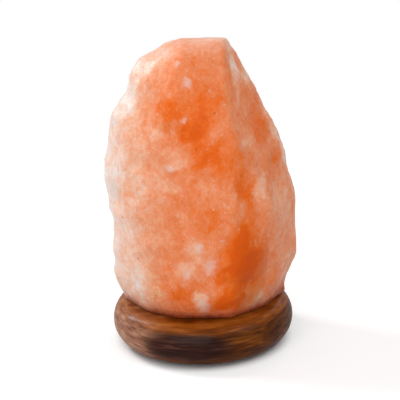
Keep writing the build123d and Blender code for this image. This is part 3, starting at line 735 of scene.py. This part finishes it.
def wood_look():
    """Dark-stained wood whose grain runs from left to right, lacquered."""
    look = Look(
        "stained_wood", specular_ior_level=0.03, coat_weight=0.11, coat_roughness=0.18,
        coat_ior=1.5,
    )
    warp = look.warp(60, 1)
    drift = look.pushed(warp, (0, 5, 4))
    shifted = look.pushed(warp, (40, 5, 9))
    streak = look.add(
        0.5,
        look.centred(look.noise(4.0, 2, drift, (8, 3, 1)), 0.8),
        look.centred(look.noise(1.3, 3, drift, (14, 6, 1)), 1.1),
        look.centred(look.noise(0.5, 2, drift, (24, 12, 1)), 0.5),
    )
    golden = look.ramp(
        streak,
        (0.2, (54, 22, 2)), (0.45, (90, 44, 5)), (0.65, (118, 62, 10)), (0.9, (152, 90, 32)),
    )
    purple = look.ramp(streak, (0.2, (28, 10, 6)), (0.5, (46, 20, 14)), (0.8, (84, 48, 38)))
    # The red ramp is paler than the wood's own red, as it carries a painted reflection.
    red = look.ramp(
        streak, (0.2, (112, 68, 50)), (0.5, (160, 110, 86)), (0.8, (206, 158, 130)),
    )
    amber = look.ramp(streak, (0.2, (104, 46, 4)), (0.5, (140, 70, 14)), (0.8, (168, 94, 34)))

    # The left is redder and paler: partly redder wood, partly a painted reflection on the left
    # shoulder. The right is darker.
    x = look.axis("X")
    blur = look.centred(look.noise(6, 2, drift, (5, 1, 1)), 20)
    colour = look.mix(look.span(look.add(x, blur), -16, -44), golden, red)
    # A dark heart lies across the front below the top's edge, and a part of it on the right.
    heart = look.most(
        look.zone((-8, -50, 14), (37, 34, 12.5), shifted, core=0.55),
        look.times(look.zone((42, -24, 25), (16, 20, 6), shifted, core=0.3), 0.7),
    )
    heart = look.math("MULTIPLY_ADD", look.centred(streak, 0.5), 1.0, heart, clamp=True)
    colour = look.mix(heart, colour, purple)
    colour = look.tinted(look.times(look.span(x, 26, 52), 0.7), colour, (200, 190, 160))
    # The top is a warmer brown.
    top = look.span(look.axis("Z"), BASE_TOP - 5.5, BASE_TOP - 2)
    colour = look.mix(look.times(top, 0.75), colour, amber)
    look.set(base_color=colour)
    look.set(roughness=look.span(look.noise(3, 2, drift, (12, 1, 1)), 0.3, 0.7, 0.4, 0.55))
    pores = look.noise(0.6, 2, drift, (16, 8, 1))
    look.bump(pores, 0.1)
    return look


dress(wood_look(), "wooden_base")


# ---------------------------------------------------------------- fittings

def metal_look(name, colour, dull, low, high, size=1.2, stretch=(1, 1, 1), depth=0.01):
    """Metal between its bright and its dull colour, and between two roughnesses."""
    look = Look(name, metallic=1.0)
    wear = look.add(
        look.times(look.noise(size, 3, stretch=stretch), 0.6),
        look.times(look.noise(size * 6, 2), 0.4),
    )
    look.set(base_color=look.mix(look.span(wear, 0.36, 0.66), srgb(*colour), srgb(*dull)))
    look.set(roughness=look.span(wear, 0.3, 0.7, low, high))
    look.bump(look.noise(size * 0.4, 2, stretch=stretch), depth)
    return look


def smooth_look(name, colour, other, low, high, size, depth, **settings):
    """Anything but metal: two close colours in soft patches, and a fine grain."""
    look = Look(name, **settings)
    patch = look.add(look.times(look.noise(size, 3), 0.7), look.times(look.noise(0.5, 2), 0.3))
    look.set(base_color=look.mix(look.span(patch, 0.35, 0.65), srgb(*colour), srgb(*other)))
    look.set(roughness=look.span(patch, 0.3, 0.7, low, high))
    look.bump(look.noise(0.35, 2), depth)
    return look


rubber = smooth_look("rubber", (38, 37, 36), (54, 52, 50), 0.7, 0.9, 3, 0.03)
resin = smooth_look(
    "resin", (30, 27, 25), (46, 41, 37), 0.3, 0.46, 5, 0.012, specular_ior_level=0.45,
)
ceramic = smooth_look(
    "ceramic", (228, 225, 214), (210, 205, 192), 0.35, 0.55, 2, 0.015,
    specular_ior_level=0.4,
)
black_glass = smooth_look("black_glass", (20, 18, 22), (34, 30, 36), 0.08, 0.2, 2, 0.006)
glass = smooth_look(
    "glass", (238, 243, 242), (226, 234, 233), 0.0, 0.03, 8, 0.002,
    transmission_weight=1.0, ior=1.5,
)
zinc = metal_look("zinc", (190, 194, 198), (164, 167, 168), 0.26, 0.38, 3, depth=0.004)
spring = metal_look("spring", (170, 170, 174), (140, 139, 140), 0.22, 0.34, 2, (1, 1, 4), 0.003)
brass = metal_look("brass", (224, 186, 112), (168, 126, 66), 0.22, 0.42)
nickel = metal_look("nickel", (214, 208, 190), (172, 160, 134), 0.16, 0.34)
solder = metal_look("solder", (186, 188, 192), (118, 118, 122), 0.3, 0.55, 0.7, depth=0.05)
lead = metal_look("lead", (186, 182, 172), (138, 130, 120), 0.25, 0.45, 0.5)
tungsten = metal_look("tungsten", (116, 114, 116), (66, 64, 66), 0.4, 0.6, 0.3)

dress(rubber, "rubber_feet")
dress(resin, "holder_cap", "holder_shell")
dress(ceramic, "terminal_block")
dress(brass, "terminal_clamps", "contact_rivets", "centre_contact", "screw_shell")
dress(zinc, "terminal_screws", "fixing_screws", "clip_bracket")
dress(spring, "clip_wing_left", "clip_wing_right")
dress(glass, "bulb_glass", "bulb_stem")
dress(nickel, "bulb_cap")
dress(black_glass, "bulb_insulator")
dress(solder, "bulb_contact")
dress(lead, "lead_wires", "filament_support")
dress(tungsten, "filament")


# ---------------------------------------------------------------- threads and coil

# The bulb's thread, and the fixing screws'
BULB_PITCH = 2.82
SCREW_PITCH = 1.7


def turned(profile, around, push=None, closed=False, place=(0, 0)):
    """Corners and faces of a piece turned about an upright axis from (radius, height)
    points, bottom first on its outside. push may move each corner."""
    corners, faces, rings = [], [], []
    for radius, height in profile:
        ring = []
        for i in range(around if radius else 1):
            a = 2 * pi * i / around
            corner = (radius * cos(a), radius * sin(a), height)
            ring.append(len(corners))
            corners.append(push(*corner) if push else corner)
        rings.append(ring)
    pairs = list(zip(rings, rings[1:])) + ([(rings[-1], rings[0])] if closed else [])
    for low, high in pairs:
        for i in range(around):
            j = (i + 1) % around
            face = (low[i % len(low)], low[j % len(low)], high[j % len(high)], high[i % len(high)])
            faces.append(tuple(dict.fromkeys(face)))
    return [(x + place[0], y + place[1], z) for x, y, z in corners], faces


def thread(pitch, depth, low, high, sharp=1.0):
    """A push that moves corners between two heights out along a right-handed thread."""
    def push(x, y, z):
        wave = (0.5 + 0.5 * cos(2 * pi * z / pitch - atan2(y, x))) ** sharp
        fade = step(z, low, low + pitch / 2) * within(z, high - pitch / 2, high)
        grow = 1 + depth * wave * fade / max(hypot(x, y), 0.01)
        return (x * grow, y * grow, z)
    return push


def new_piece(name, solids, look, body, node, crease=40):
    """One object made of lists of corners and faces, in place of a CAD node. Edges over the
    crease, in degrees, stay sharp."""
    corners, faces = [], []
    for some_corners, some_faces in solids:
        faces += [tuple(i + len(corners) for i in face) for face in some_faces]
        corners += some_corners
    mesh = new_mesh(name, corners, faces)
    mesh.shade_smooth()
    mesh.set_sharp_from_angle(angle=radians(crease))
    mesh.materials.append(look.material)
    piece = new_object(name, mesh)
    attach(piece, body)
    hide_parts(node)
    return piece


def upright(radius, low, high, pace):
    """Profile points straight up at one radius."""
    return [(radius, float(z)) for z in np.arange(low, high, pace)]


def make_bulb_cap():
    """Rolled sheet: an edge turned in below, the thread, and a plain skirt above."""
    sheet = 0.35
    outside = [(6.15, 37.7), (6.35, 37.8), (6.48, 38.1)] + upright(6.5, 38.4, 51.0, 0.17)
    outside += [(6.55, 51.2), (6.62, 51.6), (6.62, 52.8), (6.72, 53.0), (6.66, 53.1)]
    inside = [(r - sheet, z) for r, z in reversed(outside[2:])]
    inside[0] = (6.3, 53.1)
    push = thread(BULB_PITCH, 0.42, 38.6, 51.2)
    solid = turned(outside + inside, 96, push, closed=True)
    new_piece("threaded_cap", [solid], nickel, "bulb", "bulb_cap")


def make_liner():
    """Rolled liner on a flange, which has a hole for its rivet."""
    outside = [(11.0, 34.0), (11.0, 34.5), (7.9, 34.5), (7.65, 34.6), (7.5, 34.9)]
    outside += upright(7.48, 35.1, 49.2, 0.2) + [(7.5, 49.5), (7.55, 50.0)]
    inside = [(7.2, 50.0)] + upright(7.12, 35.1, 49.8, 0.2)[::-1] + [(7.15, 34.0)]
    push = thread(BULB_PITCH, 0.2, 36.0, 49.2)
    solid = turned(outside + inside, 96, push, closed=True)
    liner = new_piece("threaded_liner", [solid], brass, "holder", "screw_shell")

    rivet_x, rivet_radius, low, high = 9.275, 1.05, 33, 36
    drill = [(0, low), (rivet_radius, low), (rivet_radius, high), (0, high)]
    cutter = new_object(
        "rivet_hole", new_mesh("rivet_hole", *turned(drill, 32, place=(rivet_x, 0))),
    )
    hole = liner.modifiers.new("hole", "BOOLEAN")
    hole.operation = "DIFFERENCE"
    hole.object = cutter
    drilled = evaluated_mesh(liner)
    liner.modifiers.clear()
    liner.data = drilled
    bpy.data.objects.remove(cutter)


def make_fixing_screws():
    """Round-headed screws with a cross recess and a thread as far as the point."""
    circle_radius, bottom, dome, dome_radius = 31.525, 9.5, 0.45, 3.3
    arm_half_width, arm_half_length, arm_depth = (0.38, 0.62), (1.5, 1.9), 1.3

    def recess(x, y, z):
        if z > bottom + 0.9 or hypot(x, y) > 2.6:
            return (x, y, z)
        arm = max(
            within(abs(x), *arm_half_width) * within(abs(y), *arm_half_length),
            within(abs(y), *arm_half_width) * within(abs(x), *arm_half_length),
        )
        return (x, y, z + arm_depth * arm * (1 - hypot(x, y) / 4))

    head = [
        (r, bottom + dome * (r / dome_radius) ** 2) for r in np.arange(0, 3.0, 0.12).tolist()
    ]
    head += [(3.3, 10.05), (3.62, 10.45), (3.78, 10.95), (3.8, 11.8), (3.72, 11.9), (2.0, 11.9)]
    shank = [(2.0, 12.0), (1.98, 13.4)] + upright(1.52, 13.6, 37.0, 0.16)
    shank += [(1.4, 37.4), (1.0, 38.4), (0.5, 39.4), (0, 39.98)]
    groove = thread(SCREW_PITCH, 0.46, 13.4, 38.0, sharp=3.0)

    def push(x, y, z):
        return recess(*groove(x, y, z))

    solids = []
    for bearing in (-90, 30, 150):
        place = (circle_radius * cos(radians(bearing)), circle_radius * sin(radians(bearing)))
        solids.append(turned(head + shank, 48, push, place=place))
    new_piece("threaded_screws", solids, zinc, "lamp_body", "fixing_screws")


def make_filament():
    """A fine wire coiled along the arch that the leads hold up."""
    coils, rings_a_coil, sides = 58, 12, 6
    coil_radius, wire_radius = 0.18, 0.055
    arch_radius, centre_z, end = 4.875, 68.325, 67.4
    share = np.linspace(0, 1, coils * rings_a_coil + 1)
    bearing = np.radians(90 + end - 2 * end * share)
    level = np.zeros_like(bearing)
    out = np.stack([np.cos(bearing), level, np.sin(bearing)], axis=1)
    along = np.stack([np.sin(bearing), level, -np.cos(bearing)], axis=1)
    depth = np.array([0.0, 1.0, 0.0])
    turn = 2 * pi * coils * share[:, None]
    spin = out * np.cos(turn) + depth * np.sin(turn)
    path = np.array([0, 0, centre_z]) + out * arch_radius + spin * coil_radius
    corners, faces = [], []
    for point, radial, side in zip(path, spin, along):
        for k in range(sides):
            a = 2 * pi * k / sides
            corner = point + wire_radius * (cos(a) * radial + sin(a) * side)
            corners.append(tuple(float(c) for c in corner))
    last = (len(path) - 1) * sides
    for low in range(0, last, sides):
        high = low + sides
        for k in range(sides):
            m = (k + 1) % sides
            faces.append((low + k, low + m, high + m, high + k))
    faces.append(tuple(reversed(range(sides))))
    faces.append(tuple(range(last, last + sides)))
    new_piece(
        "coiled_filament", [(corners, faces)], tungsten, "bulb", "filament", 80,
    )


make_bulb_cap()
make_liner()
make_fixing_screws()
make_filament()
